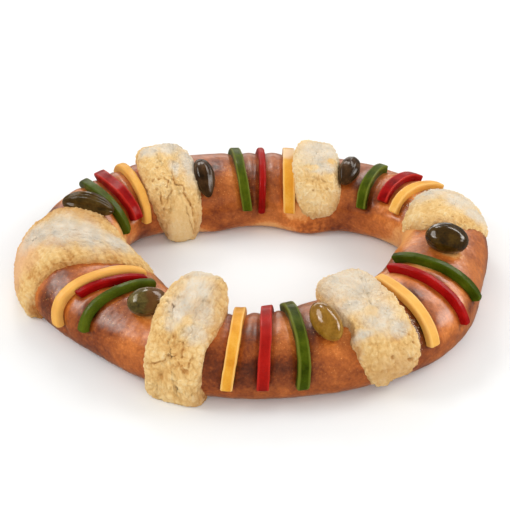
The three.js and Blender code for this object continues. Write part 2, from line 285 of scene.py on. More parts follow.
def stroke_distance(points, places, lift):
    """mm from a line drawn through places (turn, roll) on the loaf."""
    turns, rolls = np.array(places, float).T
    line = on_loaf(turns, rolls, lift)
    nearest = np.full(points.shape[:-1], 1e9)
    for a, b in zip(line[:-1], line[1:]):
        t = np.clip(((points - a) @ (b - a)) / ((b - a) @ (b - a)), 0, 1)
        nearest = np.minimum(nearest, np.linalg.norm(points - a - t[..., None] * (b - a), axis=-1))
    return nearest


# ---- meshes
def make(name, points_mm, faces, attributes, looks, sharp=None):
    """A smooth mesh, its faces outwards, with sharp edges where they turn by more than sharp degrees."""
    mesh = bpy.data.meshes.new(name)
    mesh.from_pydata(np.asarray(points_mm, np.float32).reshape(-1, 3) * MM, [], faces)
    mesh.validate()
    mesh.shade_smooth()
    if sharp is not None:
        mesh.set_sharp_from_angle(angle=math.radians(sharp))
    for key, values in attributes.items():
        layer = mesh.attributes.new(key, "FLOAT", "POINT")
        layer.data.foreach_set("value", np.asarray(values, np.float32).ravel())
    mesh.materials.append(looks)
    solid = bmesh.new()
    solid.from_mesh(mesh)
    if solid.calc_volume(signed=True) < 0:
        mesh.flip_normals()
    solid.free()
    obj = bpy.data.objects.new(name, mesh)
    bpy.context.scene.collection.objects.link(obj)
    return obj


def grid_faces(rows, columns, close_rows=False):
    """Faces of a grid of points whose columns run round in a loop, as its rows may too."""
    row, column = np.mgrid[:rows if close_rows else rows - 1, :columns]
    below, after = (row + 1) % rows * columns, (column + 1) % columns
    row *= columns
    return np.stack([row + column, below + column, below + after, row + after], -1).reshape(-1, 4).tolist()


def with_ends(rings):
    """Points of rings, then the middles of the first and the last."""
    return np.concatenate([rings.reshape(-1, 3), [rings[0].mean(0), rings[-1].mean(0)]])


def tube_faces(rows, columns):
    """Faces of a tube that is closed at its ends by two points after its rows."""
    k = np.arange(columns)
    after = (k + 1) % columns
    last = (rows - 1) * columns
    start, end = np.full((2, columns), rows * columns) + [[0], [1]]
    ends = np.concatenate([np.stack([start, after, k], 1), np.stack([end, last + k, last + after], 1)])
    return grid_faces(rows, columns) + ends.tolist()


def grid_normals(grid, outward, looped):
    """Normals of a grid of points, on the side that outward shows. looped is the axis that is a loop."""
    over_loop = np.roll(grid, -1, looped) - np.roll(grid, 1, looped)
    n = unit(np.cross(over_loop, np.gradient(grid, axis=1 - looped)))
    return n * np.sign((outward * n).sum(-1).mean())


def dress(obj, node):
    """Puts a piece on the body, in place of a CAD node if one is given."""
    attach(obj, "root")
    if node:
        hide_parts(node)


# ---- materials
# A Mix node's places for the factor and two colours, and for its colour.
MIX_SOCKETS = (0, 6, 7)
MIX_RESULT = 2


def linear(colour):
    """An sRGB colour from 0 to 255 as shaders take it: linear, with an alpha of 1."""
    c = [v / 255 for v in colour]
    return [v / 12.92 if v <= 0.04045 else ((v + 0.055) / 1.055) ** 2.4 for v in c] + [1]


class Looks:
    """A material being built: a Principled shader and helpers that add nodes to it. A value given to
    a node or the shader is either plain or another node's output."""

    def __init__(self, name, **inputs):
        self.material = bpy.data.materials.new(name)
        self.material.use_nodes = True
        self.tree = self.material.node_tree
        self.shader = self.tree.nodes["Principled BSDF"]
        self.place = self.node("ShaderNodeTexCoord", "Object")
        self.normal = None
        for key, value in inputs.items():
            self.feed(self.shader.inputs[key.replace("_", " ")], value)

    def feed(self, socket, value):
        if isinstance(value, bpy.types.NodeSocket):
            self.tree.links.new(value, socket)
        else:
            socket.default_value = value

    def node(self, kind, output, inputs=None, **settings):
        n = self.tree.nodes.new(kind)
        for key, value in settings.items():
            setattr(n, key, value)
        for key, value in (inputs or {}).items():
            self.feed(n.inputs[key], value)
        return n.outputs[output]

    def noise(self, size_mm, detail=3, roughness=0.55):
        inputs = {"Vector": self.place, "Scale": 1000 / size_mm, "Detail": detail, "Roughness": roughness}
        return self.node("ShaderNodeTexNoise", "Fac", inputs)

    def cell_distance(self, size_mm):
        inputs = {"Vector": self.place, "Scale": 1000 / size_mm}
        return self.node("ShaderNodeTexVoronoi", "Distance", inputs)

    def attribute(self, name):
        return self.node("ShaderNodeAttribute", "Fac", attribute_name=name)

    def map(self, source, low, high, new_low, new_high):
        inputs = {"Value": source, "From Min": low, "From Max": high, "To Min": new_low, "To Max": new_high}
        return self.node("ShaderNodeMapRange", "Result", inputs, interpolation_type="SMOOTHSTEP")

    def ramp(self, source, *stops):
        colour = self.node("ShaderNodeValToRGB", "Color", {"Fac": source})
        elements = colour.node.color_ramp.elements
        while len(elements) < len(stops):
            elements.new(0.5)
        for element, (place, stop) in zip(elements, stops):
            element.position = place
            element.color = linear(stop)
        return colour

    def mix(self, factor, a, b):
        """From colour a, where factor is 0, to b where it is 1."""
        values = zip(MIX_SOCKETS, (factor, a, linear(b) if isinstance(b, tuple) else b))
        return self.node("ShaderNodeMix", MIX_RESULT, dict(values), data_type="RGBA")

    def math(self, operation, a, b):
        return self.node("ShaderNodeMath", "Value", {0: a, 1: b}, operation=operation)

    def times(self, a, b):
        return self.math("MULTIPLY", a, b)

    def add(self, a, b, share=1):
        """a plus a share of b, both from 0 to 1 round 0.5."""
        return self.math("ADD", a, self.times(self.math("SUBTRACT", b, 0.5), share))

    def colour(self, source):
        self.feed(self.shader.inputs["Base Color"], source)

    def bump(self, source, height_mm):
        """Adds a bump to those before it."""
        inputs = {"Height": source, "Distance": height_mm * MM}
        if self.normal:
            inputs["Normal"] = self.normal
        self.normal = self.node("ShaderNodeBump", "Normal", inputs)
        self.feed(self.shader.inputs["Normal"], self.normal)


BREAD_RAMP = (
    (0, (48, 14, 2)), (0.12, (86, 32, 6)), (0.28, (124, 54, 14)), (0.5, (170, 88, 30)),
    (0.72, (208, 120, 50)), (0.95, (236, 172, 104)),
)
BREAD_TINT = (1, 0.5, 0.2, 1)
SPECK_COLOUR = (250, 190, 112)
SPECK_MM = 2.2


def bread_looks():
    m = Looks("bread_crust", Roughness=0.45, Coat_Weight=0.95, Coat_Roughness=0.33,
              Specular_IOR_Level=0.2, Specular_Tint=BREAD_TINT)
    blisters = m.noise(2.2, 4, 0.6)
    tone = m.add(m.attribute("tone"), m.noise(30), 0.5)
    tone = m.add(tone, m.noise(7, 4, 0.6), 0.45)
    tone = m.add(tone, blisters, 0.45)
    base = m.ramp(tone, *BREAD_RAMP)
    specks = m.map(m.cell_distance(SPECK_MM), 0.08, 0.26, 1, 0)
    specks = m.times(specks, m.attribute("peel"))
    specks = m.times(specks, m.map(m.noise(7, 2), 0.38, 0.58, 0, 1))
    m.colour(m.mix(m.times(specks, 0.7), base, SPECK_COLOUR))
    m.bump(blisters, 0.26)
    m.bump(m.noise(6), 0.2)
    return m.material


CRUST_RAMP = (
    (0.1, (206, 152, 86)), (0.34, (230, 188, 122)), (0.56, (241, 207, 147)), (0.9, (249, 228, 184)),
)
POWDER_RAMP = ((0, (192, 186, 177)), (0.5, (228, 218, 203)), (1, (243, 235, 222)))
PEACH = (234, 186, 142)
# A brown from the oven, also used as painted shade on the crusts' shaded lower sides and feet.
BAKE_AND_SHADE_BROWN = (172, 100, 42)
CRACKED = (180, 122, 60)


def crust_looks():
    m = Looks("sugar_crust_paste", Roughness=0.9, Specular_IOR_Level=0.2)
    crumbs = m.noise(2.2, 4, 0.7)
    grain = m.noise(1, 2, 0.6)
    tone = m.add(m.add(m.attribute("tone"), m.noise(15), 0.4), crumbs, 0.45)
    base = m.ramp(m.add(tone, grain, 0.2), *CRUST_RAMP)
    smooth = m.mix(m.attribute("peach"), base, PEACH)
    # Brown, partly from the oven and partly painted shade on shaded lower sides and feet.
    baked_and_shaded = m.mix(m.attribute("bake_and_shade"), smooth, BAKE_AND_SHADE_BROWN)
    cracked = m.mix(m.attribute("crack"), baked_and_shaded, CRACKED)
    worn = m.map(m.add(crumbs, grain, 0.8), 0.3, 0.5, 0.7, 1)
    powder = m.ramp(m.attribute("powder"), *POWDER_RAMP)
    m.colour(m.mix(m.times(m.attribute("dust"), worn), cracked, powder))
    m.bump(grain, 0.8)
    m.bump(crumbs, 1.1)
    return m.material


DUST_ON_PASTE = (236, 220, 196)
# How far light goes in, in m: red, green, blue.
PASTE_DEPTH = (0.003, 0.0012, 0.0006)
FRUIT_DEPTH = (0.003, 0.0015, 0.0008)


def paste_looks(name, dark, base, light, edge, soft, roughness):
    m = Looks(name, Roughness=roughness, Coat_Weight=0.1, Coat_Roughness=0.14, Specular_IOR_Level=0.15,
              Specular_Tint=linear(edge), Subsurface_Weight=soft, Subsurface_Radius=PASTE_DEPTH,
              Subsurface_Scale=1)
    tone = m.add(m.add(m.attribute("tone"), m.noise(9), 0.6), m.noise(1.6), 0.35)
    body = m.ramp(tone, (0.2, dark), (0.5, base), (0.8, light))
    # The edge colour: a painted highlight along top corners, and the paler strips' own colour all over.
    edged = m.mix(m.attribute("edge"), body, edge)
    m.colour(m.mix(m.attribute("dust"), edged, DUST_ON_PASTE))
    m.bump(m.noise(1.7, 4, 0.6), 0.14)
    return m.material


def fruit_looks(name, dark, base, light, other, gloss, roughness, bump):
    m = Looks(name, Roughness=roughness, Coat_Weight=gloss, Coat_Roughness=0.09, Specular_IOR_Level=0.2,
              Specular_Tint=linear(base), Subsurface_Weight=0.12, Subsurface_Radius=FRUIT_DEPTH,
              Subsurface_Scale=1)
    tone = m.add(m.add(m.attribute("tone"), m.noise(8), 0.6), m.noise(2), 0.3)
    body = m.ramp(tone, (0.25, dark), (0.5, base), (0.75, light))
    m.colour(m.mix(m.attribute("other"), body, other))
    m.bump(m.noise(2.8), bump)
    return m.material


# ---- the loaf
TURNS = 720
ROLLS = 116
BASE_ROWS = 7

# How far the loaf stands above its plain form between the strips, and sinks beside and under them.
PROUD = 0.5
DIP = 1.3
DIP_REACH = 4.5
GROOVE = 0.5
GROOVE_REACH = 1.8
MM_PER_ROLL_BESIDE = 0.9  # mm for each degree of roll, roughly
BASE_TONE = 0.45

# Where the bread is lighter (+) or darker (-): turn, roll, spreads in degrees, amount.
# Partly the bread's own colour from the oven, partly painted light: dark spots under and beside the
# fruits and in the gaps between strips are painted shade, and some light spots are painted highlights.
BREAD_TONES_AND_PAINTED_LIGHT = (
    (262, 25, 7, 40, -0.26), (258, 42, 3, 18, -0.24), (268, 78, 4, 18, -0.34), (276, 82, 4, 22, 0.2),
    (270, 28, 8, 20, -0.24), (265, 42, 3, 14, 0.12), (290, 66, 4, 16, 0.2), (282, 76, 3, 24, -0.4),
    (276, 18, 7, 22, -0.22), (286, -8, 12, 16, -0.14), (279, 92, 3, 14, 0.26), (284, 46, 4, 18, 0.26),
    (223, 44, 12, 20, -0.24), (222, -6, 20, 24, -0.1), (225, 40, 2.5, 10, -0.3), (231, 84, 5, 14, -0.14),
    (234, 60, 8, 30, -0.14), (243, 56, 5, 40, 0.22), (243, 82, 5, 14, 0.34), (201, 56, 3, 16, -0.2),
    (206, -4, 4, 16, -0.08), (208, 42, 3, 12, -0.14), (203, 26, 4, 26, -0.3), (213, 40, 3, 20, 0.24),
    (309, 36, 4, 40, -0.42), (315, 80, 3, 14, -0.42), (314.5, 20, 4, 12, 0.26), (316, 40, 5, 30, 0.02),
    (321, 130, 5, 36, 0.42), (328, 20, 4, 10, -0.34), (333, 92, 4, 18, 0.72), (339, 80, 3, 12, -0.22),
    (327, 80, 3, 14, -0.36), (326, 56, 6, 36, 0.14), (345, 50, 7, 40, 0.14), (346, 76, 6, 16, 0.52),
    (346, 10, 14, 34, 0.14), (350, 134, 5, 20, 0.16), (1, 56, 9, 26, -0.04), (2, 120, 5, 12, -0.42),
    (6, 160, 18, 40, 0.5), (28, 180, 12, 30, 0.36), (34, 208, 14, 16, 0.46), (34, 100, 4, 12, 0.46),
    (33, 130, 4, 18, -0.22), (41, 138, 3, 14, 0.3), (50.5, 138, 3.5, 30, -0.46), (57, 118, 3, 10, -0.22),
    (56, 94, 4, 24, -0.28), (56, 162, 4, 14, -0.18), (64, 144, 4, 18, 0.2), (61, 204, 6, 26, -0.2),
    (77, 170, 6, 16, 0.62), (86, 208, 7, 16, 0.5), (93, 136, 2.5, 42, -0.38), (87, 130, 3, 40, -0.08),
    (98.5, 122, 3.5, 30, 0.2), (104.5, 99, 3, 18, -0.44), (105, 176, 7, 24, -0.2),
    (113.5, 208, 5, 14, 0.66), (103, 205, 4, 16, -0.2), (137, 200, 6, 30, -0.24), (127, 208, 4, 14, 0.24),
    (146, 60, 4, 20, 0.16), (148, 190, 8, 30, 0.2), (152, 50, 3.5, 26, 0.34), (160.5, 48, 4, 22, -0.26),
    (164, 156, 6, 20, 1), (193, 10, 5, 40, 0.5),
)
# Where small bright specks show in the crust: turn, roll, spreads in degrees, as in the next two.
PEELS = (
    (204, 45, 5, 40), (99, 115, 9, 45), (276, 80, 6, 25), (290, 55, 9, 45), (80, 110, 6, 45),
    (235, 60, 8, 30), (350, 110, 14, 40),
)
# Where fine stretch marks run across the front, and where the crust burst under crust 3.
STRETCH_MARKS = ((235, 40, 25, 60), (275, 30, 20, 60))
BURST = ((70, 205, 10, 32),)


def strip_turn(turns, roll):
    """The turn of a strip's middle line at a roll."""
    outer, top, inner = turns
    side = (roll - 90) / 90
    return top + side * (inner - outer + side * (inner + outer - 2 * top)) / 2


def beside_strips(turn, roll, reach):
    """1 at a strip, fading over reach mm."""
    total = np.zeros(np.shape(turn))
    scale = spread(turn, roll)
    for places in STRIPS.values():
        for turns, (start, end), width, *_ in places:
            aside = np.abs(away(turn, strip_turn(turns, roll))) * scale - width / 2
            beyond = np.maximum(np.maximum(start - roll, roll - end), 0) * MM_PER_ROLL_BESIDE
            d = np.hypot(np.maximum(aside, 0), beyond)
            total = np.maximum(total, np.exp(-((d / reach) ** 2)))
    return total


def build_bread():
    """Builds the loaf and returns its points above the base. Noises are in mm: size, then seed."""
    rolls = np.linspace(-FOOT_ROLL, 180 + FOOT_ROLL, ROLLS)
    turn, roll = np.meshgrid(np.arange(TURNS) * 360 / TURNS, rolls, indexing="ij")
    grid = on_loaf(turn, roll)
    grid[:, 0, 2] = grid[:, -1, 2] = 0
    outward = on_loaf(turn, roll, 1) - grid
    above_foot = smoothstep(-FOOT_ROLL, -28, roll) * smoothstep(180 + FOOT_ROLL, 208, roll)
    stretched = np.stack([turn * 2.2, roll * 0.06, np.zeros_like(turn)], -1)
    groove_and_shade = beside_strips(turn, roll, GROOVE_REACH)
    burst = spots(BURST, turn, roll)
    bumps = 1.1 * layered(grid, 42, 3) + 0.28 * layered(grid, 11, 5) + 0.16 * noise(grid, 3.6, 9)
    bumps += 0.13 * noise(stretched, 2.4, 12) * spots(STRETCH_MARKS, turn, roll)
    bumps += spots(PEELS, turn, roll) * 0.16 * noise(grid, 2.6, 15)
    bumps += PROUD - DIP * beside_strips(turn, roll, DIP_REACH) - GROOVE * groove_and_shade
    bumps += burst * (0.7 * noise(grid, 4.5, 21) + 0.5 * noise(grid, 2.2, 22))
    grid = grid + grid_normals(grid, outward, looped=0) * (bumps * above_foot)[..., None]
    # The bread is made darker right beside the strips: painted shade.
    tone = 0.5 + spots(BREAD_TONES_AND_PAINTED_LIGHT, turn, roll) + 0.1 * noise(grid, 60, 31) - 0.1 * groove_and_shade
    tone += 0.12 * smoothstep(9, 1, grid[..., 2]) * smoothstep(150, 190, roll)
    tone += 0.3 * burst * noise(grid, 3, 23)
    share = np.arange(1, BASE_ROWS + 1)[None, :, None] / (BASE_ROWS + 1)
    base = grid[:, -1:, :] * (1 - share) + grid[:, :1, :] * share
    base[..., 2] = 0
    points = np.concatenate([grid, base], 1)
    under = ((0, 0), (0, BASE_ROWS))
    attributes = {
        "tone": np.pad(tone, under, constant_values=BASE_TONE),
        "peel": np.pad(np.clip(spots(PEELS, turn, roll) + 0.15, 0, 1), under),
    }
    faces = grid_faces(TURNS, ROLLS + BASE_ROWS, close_rows=True)
    bread = make("bread", points, faces, attributes, bread_looks())
    dress(bread, "bread_ring")
    return grid


# ---- sugar crusts
SPOKES = 420
CRUST_ROWS = 78
PROFILE_STEPS = 4000
RIM_STEPS = 6001
RIM_POWER = 6  # how steep a crust's rim is: 2 is round
RIM_SINK = 1.2  # mm that its rim sinks into the bread
CRUST_ROOT = 3.5  # and its underside
BITE_SINK = 3  # and what shows the bread
LOWEST = 0.4  # no crust comes nearer to the table than this

# the brown places are partly from the oven, partly painted shade on shaded lower sides and feet
# What is on each crust. Places are turn and roll, sizes and depths are in mm.
#   lumps: size and height of its cobbles, height of its crumbs
#   ribs: their depth, across its end half
#   cracks: half width, depth, then the places that the crack runs through
#   lobes: place, half sizes, tilt, taper, height, and how smooth its top is
#   pits: place, radius, depth
#   bites: place, radius, where the bread shows through
#   dust, plain: place, half sizes and amount unless 1, where sugar dust lies, and where it doesn't
#   baked, peach: place, half sizes, amount, where it is brown, and where it is smooth and pinkish
#   shade, grey: how much darker than usual its paste is, and its dust
NO_DETAILS = dict(
    lumps=(8, 0.5, 0.6), ribs=0, cracks=(), lobes=(), pits=(), bites=(), plain=(), peach=(), shade=0,
    grey=0,
)
ON_CRUST_1 = dict(
    lumps=(9, 0.5, 0.6),
    ribs=1,
    shade=0.12,
    grey=0.16,
    pits=((205, 118, 1.6, 1.2), (196, 100, 2, 1)),
    dust=((182, 58, 15, 20), (184, 80, 22, 18), (190, 100, 22, 15), (197, 122, 16, 14)),
    plain=((164, 92, 8, 40), (167, 140, 7, 22)),
    baked_and_shaded=(
        (164, 92, 8, 40, 0.5), (168.5, 70, 8, 20, 0.5), (172, 96, 8, 22, 0.4), (166, 140, 7, 20, 0.6),
        (200.5, 24, 7, 28, 0.85), (201, 54, 5, 16, 0.75), (205, 76, 5, 14, 0.55), (210, 96, 4, 14, 0.4),
        (199.5, -20, 9, 20, 0.9), (192, -64, 24, 14, 0.7),
    ),
    peach=((184, 12, 24, 36, 0.9), (190, 40, 12, 12, 0.5)),
)
ON_CRUST_2 = dict(
    cracks=(
        (1.3, 2.4, ((120, 117), (119.5, 130), (117, 135), (116.5, 148), (115, 157), (114.5, 172))),
        (1.2, 2.2, ((121.5, 139), (123.3, 146), (126, 158))),
        (1.1, 2.2, ((126, 137), (127, 147), (126, 160))),
        (0.8, 1.4, ((124, 118), (122, 127), (123, 134))),
        (0.8, 1.6, ((117, 160), (115.5, 178), (114, 192))),
    ),
    lobes=((119.3, 178, 12, 24, -6, 0.3, 2, 0.85),),
    pits=((127.5, 121, 1.6, 1.8), (125, 122, 1.4, 1.6), (127.2, 133, 1.6, 1.8), (124.5, 108, 1.2, 1.2)),
    dust=(
        (117.5, 72, 17, 17), (118.5, 84, 9, 10), (113, 105, 10, 20), (118.5, 112, 5, 8),
        (124, 78, 10, 12),
    ),
    plain=((122, 118, 5, 6),),
    baked_and_shaded=((112.5, 196, 5, 20, 0.5), (127.5, 185, 6, 24, 0.45), (120, 245, 14, 12, 0.4)),
)
ON_CRUST_3 = dict(
    shade=-0.14,
    cracks=(
        (0.8, 1.6, ((73.3, 125), (70.5, 127), (67.3, 131))),
        (0.8, 1.5, ((69, 119), (70.5, 127), (72.2, 132))),
        (0.7, 1.1, ((70.5, 127), (70.3, 138), (71.5, 143))),
    ),
    pits=((71.5, 143, 1.2, 1), (66.5, 139, 1.1, 1)),
    dust=((71.5, 88, 20, 22), (70, 112, 13, 6)),
    plain=((73, 113, 6, 3), (67, 100, 4, 3)),
    baked_and_shaded=((70, 179, 26, 7, 0.4), (62, 160, 6, 22, 0.3)),
)
ON_CRUST_4 = dict(
    lumps=(8, 0.45, 0.6),
    cracks=((1, 1.6, ((3.5, 138), (1.5, 128), (0, 112))), (0.9, 1.4, ((4.5, 70), (7.5, 58), (9, 50)))),
    pits=((17, 96, 1.3, 1.1), (8.5, 85, 1.3, 1.1), (22, 105, 1.1, 0.9)),
    dust=((22, 66, 16, 16), (20, 74, 14, 12), (29.5, 84, 12, 26), (15, 52, 10, 14), (33, 118, 5, 18)),
    baked_and_shaded=((3, 125, 8, 14, 0.25), (4, 92, 6, 12, 0.5)),
)
ON_CRUST_5 = dict(
    lumps=(7, 0.8, 0.55),
    cracks=(
        (0.7, 0.9, ((288.5, 55), (290.5, 50), (291.5, 42))),
        (0.7, 1, ((300.5, 46), (303, 38), (303.8, 28))),
    ),
    lobes=(
        (296.5, 70, 7, 6.5, 20, 0, 0.9, 0.7), (292.5, 79.5, 13, 1.6, 8, 0, 0.8, 0.3),
        (301.5, -10, 15, 12, 0, 0, -2.2, 0.3),
    ),
    pits=(
        (297.5, 22, 1.8, 2.2), (303.5, 29, 1.3, 2), (302, 13, 2, 2.4), (290.3, 31, 1.4, 1.4),
        (298, 14, 1, 1),
    ),
    bites=((289.2, 63, 4.8), (288.3, 48, 2.5), (289, 23, 3)),
    dust=((297, 108, 24, 34), (298, 66, 15, 17), (301, 48, 9, 7), (292, 50, 9, 5), (293, 82, 12, 10)),
    plain=((296.5, 70, 7, 6, 0.6),),
    baked_and_shaded=(
        (289.5, 40, 4, 26, 0.5), (298, 4, 24, 16, 0.4), (304, -6, 12, 14, 0.5), (289, 85, 5, 8, 0.5),
        (290, 105, 6, 10, 0.3),
    ),
)
ON_CRUST_6 = dict(
    lumps=(7.5, 1, 0.45),
    cracks=(
        (1.1, 2.2, ((247.6, 17), (249.3, 20), (250.7, 24), (252.2, 31), (253.2, 34))),
        (1.1, 2.2, ((254, 50), (254.3, 44), (254.5, 34))),
        (0.9, 1.4, ((254, 27), (255, 24), (255.5, 20))), (0.7, 1.4, ((256.2, 36), (256, 30), (256, 25))),
        (0.7, 1.3, ((247.5, 88), (249, 79))),
    ),
    lobes=((253.5, 71, 5.5, 5, 0, 0, 0.8, 0.9),),
    pits=(
        (252, 32, 2.2, 2.6), (255.5, 20, 2.3, 2.2), (256.5, 36, 1.4, 1.6), (248.5, 84, 1.5, 1.4),
        (252, 55, 1.5, 1.2), (257, 95, 2, 1.6), (251, 8, 1.5, 1.2), (254, 0, 1.5, 1),
    ),
    dust=(
        (251.5, 104, 15, 16), (248, 128, 14, 16), (251, 84, 11, 14), (256, 84, 9, 16, 0.8),
        (255.8, 63, 9, 9, 0.8), (250.5, 66, 6, 6, 0.7),
    ),
    plain=((253.5, 71, 5, 5, 0.6), (247, 103, 4, 9, 0.5)),
    baked_and_shaded=((259, -4, 5, 16, 0.7), (259.5, 60, 4, 30, 0.25), (258, -40, 10, 20, 0.5)),
)
CRUST_DETAILS = (ON_CRUST_1, ON_CRUST_2, ON_CRUST_3, ON_CRUST_4, ON_CRUST_5, ON_CRUST_6)


def spline(values, along):
    """Uniform Catmull-Rom through values, at places from 0 to len(values) - 1."""
    v = np.asarray(values, float)
    last = len(v) - 1
    i = np.clip(np.floor(along).astype(int), 0, last - 1)
    t = along - i
    p, q, r, s = (v[np.clip(i + k, 0, last)] for k in (-1, 0, 1, 2))
    return q + t * ((r - p) / 2 + t * (p - 2.5 * q + 2 * r - s / 2 + t * ((s - p) / 2 + 1.5 * (q - r))))


def crust_row(rows, roll):
    """The turns of a crust's edges and its thickness at a roll."""
    along = np.interp(roll, [row[0] for row in rows], np.arange(len(rows)))
    return [spline([row[k] for row in rows], along) for k in (1, 2, 3)]


def thickness(rows, roll):
    return float(crust_row(rows, roll)[2])


def even_steps(points, places, count):
    """Values of places at count even steps along a line of points, its end being the last."""
    length = np.concatenate([[0], np.cumsum(np.linalg.norm(np.diff(points, axis=0), axis=1))])
    return np.interp(np.linspace(0, length[-1], count + 1), length, places)


def crust_shares():
    """Steps from the middle of a crust to its rim, even along a profile of 30 mm by 12."""
    share = np.linspace(0, 1, PROFILE_STEPS)
    profile = np.stack([30 * share, 12 * (1 - share**RIM_POWER) ** 0.5], -1)
    return even_steps(profile, share, CRUST_ROWS)[1:]


def crust_angles(rows):
    """Spokes that meet the rim at even steps."""
    angles = np.linspace(0, 2 * np.pi, RIM_STEPS)
    turn, roll, _ = crust_place(rows, 1, angles, None)
    return even_steps(on_loaf(turn, roll), angles, SPOKES)[:-1]


def crust_place(rows, shares, angles, seed):
    """Turn, roll and thickness at shares of the way from a crust's middle to its rim, ragged by seed."""
    x, y = (np.sign(v) * np.abs(v) ** (2 / CRUST_SQUARENESS) for v in (np.cos(angles), np.sin(angles)))
    if seed is not None:
        rim = np.stack([40 * x, 90 * y, np.full(x.shape, seed)], -1)  # in mm, roughly
        rag = 0.03 * noise(rim, 16, seed) + 0.025 * noise(rim, 7, seed + 1) + 0.01 * noise(rim, 3, seed + 2)
        shares = shares * (1 + rag)
    first, last = rows[0][0], rows[-1][0]
    roll = (first + last) / 2 + shares * y * (last - first) / 2
    start, end, thick = crust_row(rows, roll)
    return (start + end) / 2 + shares * x * (end - start) / 2, roll, thick


def covered(points, table, softness, lift):
    """How far inside the ovals of a table each point is, 0 to 1. lift gives their height at a roll."""
    total = np.zeros(points.shape[:-1])
    for turn, roll, half_turn, half_roll, *amount in table:
        distance = patch(points, turn, roll, lift(roll), half_turn, half_roll)
        inside = smoothstep(1 + softness, 1 - softness, distance)
        total = np.maximum(total, inside * (amount[0] if amount else 1))
    return total


def crust_heights(rows, details, grid, turn, roll, seed):
    """mm to raise a crust's top by, how cracked it is, and its small relief alone."""
    moved = warp(grid, 1.1, 5, seed + 20) + 0.4 * noise(grid, 1.8, seed + 23)[..., None]
    size, cobble, crumb = details["lumps"]
    nearest, second = cells(moved, size, seed + 5)
    seams = smoothstep(0.16, 0, second - nearest)
    relief = cobble * (smoothstep(-0.1, 0.5, second - nearest) - 0.6)
    relief += 0.9 * noise(grid, 17, seed)
    grains = smoothstep(-0.1, 0.5, noise(grid, 2.6, seed + 3))
    grains += 0.6 * smoothstep(-0.1, 0.5, noise(grid, 1.7, seed + 4))
    fine = crumb * (layered(grid, 5, seed + 8) + 1.25 * grains - 0.6)
    if details["ribs"]:
        ribs = noise(np.stack([turn * 0.22, roll * 0.85, np.zeros_like(turn)], -1), 2.6, seed + 6)
        start, end, _ = crust_row(rows, roll)
        fine += details["ribs"] * ribs * smoothstep(0.55, 0.85, (turn - start) / (end - start))
    height = np.zeros(turn.shape)
    for t, r, half_turn, half_roll, tilt, taper, rise, smooth in details["lobes"]:
        distance = patch(moved, t, r, thickness(rows, r), half_turn, half_roll, tilt, taper)
        inside = smoothstep(1.06, 0.9, distance)
        height += rise * inside
        relief = relief * (1 - smooth * inside)
        fine = fine * (1 - 0.75 * smooth * inside)
    crack = 0.2 * seams * smoothstep(0.3, 1.2, cobble)
    for half_width, depth, places in details["cracks"]:
        lift = thickness(rows, np.mean([r for _, r in places])) - 1
        level = on_loaf(turn, roll, lift) + (moved - grid)
        cut = smoothstep(half_width * 1.2, 0, stroke_distance(level, places, lift))
        cut = cut * (0.7 + 0.3 * noise(grid, 6, seed + 9))
        height -= depth * cut
        crack = np.maximum(crack, 0.8 * cut)
    for t, r, radius, depth in details["pits"]:
        cut = smoothstep(1.3, 0.3, patch(moved, t, r, thickness(rows, r), radius * 1.3, radius))
        height -= depth * cut
        crack = np.maximum(crack, 0.6 * cut)
    return height + relief + fine, crack, relief + fine


def build_crust(index, rows, details, looks):
    """Builds a crust and returns its top's points and how much dust lies on each."""
    seed = 100 + 31 * index
    node = f"sugar_crust_{index + 1}"
    angles = crust_angles(rows)
    share, angle = np.meshgrid(crust_shares(), angles, indexing="ij")
    turn, roll, thick = crust_place(rows, share, angle, seed)
    lift = np.sqrt(np.clip(1 - share**RIM_POWER, 0, 1)) * thick - RIM_SINK * share**RIM_POWER
    for t, r, radius in details["bites"]:
        places = warp(on_loaf(turn, roll), 1.2, 4, seed + 30)
        gone = smoothstep(1.12, 0.9, patch(places, t, r, 0, radius, radius * 1.5))
        lift = lift * (1 - gone) - BITE_SINK * gone
    grid = on_loaf(turn, roll, lift)
    normals = grid_normals(grid, grid - on_loaf(turn, roll, lift - 1), looped=1)
    height, crack, rough = crust_heights(rows, details, grid, turn, roll, seed)
    relief = height * (0.25 + 0.75 * smoothstep(1, 0.985, share))
    grid = grid + normals * relief[..., None]
    grid[..., 2] = np.maximum(grid[..., 2], LOWEST)

    moved = warp(grid, 2.2, 7, seed + 40)

    def cover(key, softness):
        return covered(moved, details[key], softness, lambda r: thickness(rows, r))

    dust = cover("dust", 0.6) * (1 - cover("plain", 0.4))
    dust = dust * (0.95 + 0.2 * noise(grid, 7, seed + 41) + 0.12 * noise(grid, 2.4, seed + 42))
    dust = np.clip(dust, 0, 1) * smoothstep(1, 0.93, share) * (1 - 0.7 * crack)
    # Brown places, partly painted shade on shaded sides and feet, and a slightly browner rim.
    bake_and_shade = cover("baked_and_shaded", 0.7) + 0.15 * smoothstep(0.95, 1, share)
    attributes = {
        "crack": crack,
        "dust": dust,
        "bake_and_shade": np.clip(bake_and_shade, 0, 1) * (0.8 + 0.4 * noise(grid, 5, seed + 43)),
        "peach": cover("peach", 0.5),
        # The paste is lighter where its top is raised and darker in its cracks, pits and hollows: painted
        # shade, over random mottling.
        "tone": 0.5 + 0.05 * height + 0.15 * rough + 0.1 * noise(grid, 20, seed + 44) - details["shade"],
        "powder": 0.5 + 0.35 * noise(grid, 10, seed + 45) - details["grey"],
    }

    under = [on_loaf(*crust_place(rows, s, angles, seed)[:2], -CRUST_ROOT) for s in (0.9, 0.6, 0.3)]
    rings = np.concatenate([grid, under])
    rings[..., 2] = np.maximum(rings[..., 2], LOWEST)
    for key, values in attributes.items():
        padded = np.pad(values, ((0, len(under)), (0, 0)))
        attributes[key] = np.append(padded, [values[0].mean(), 0])
    crust = make(f"{node}_piece", with_ends(rings), tube_faces(len(rings), SPOKES), attributes, looks)
    dress(crust, node)
    return grid, dust


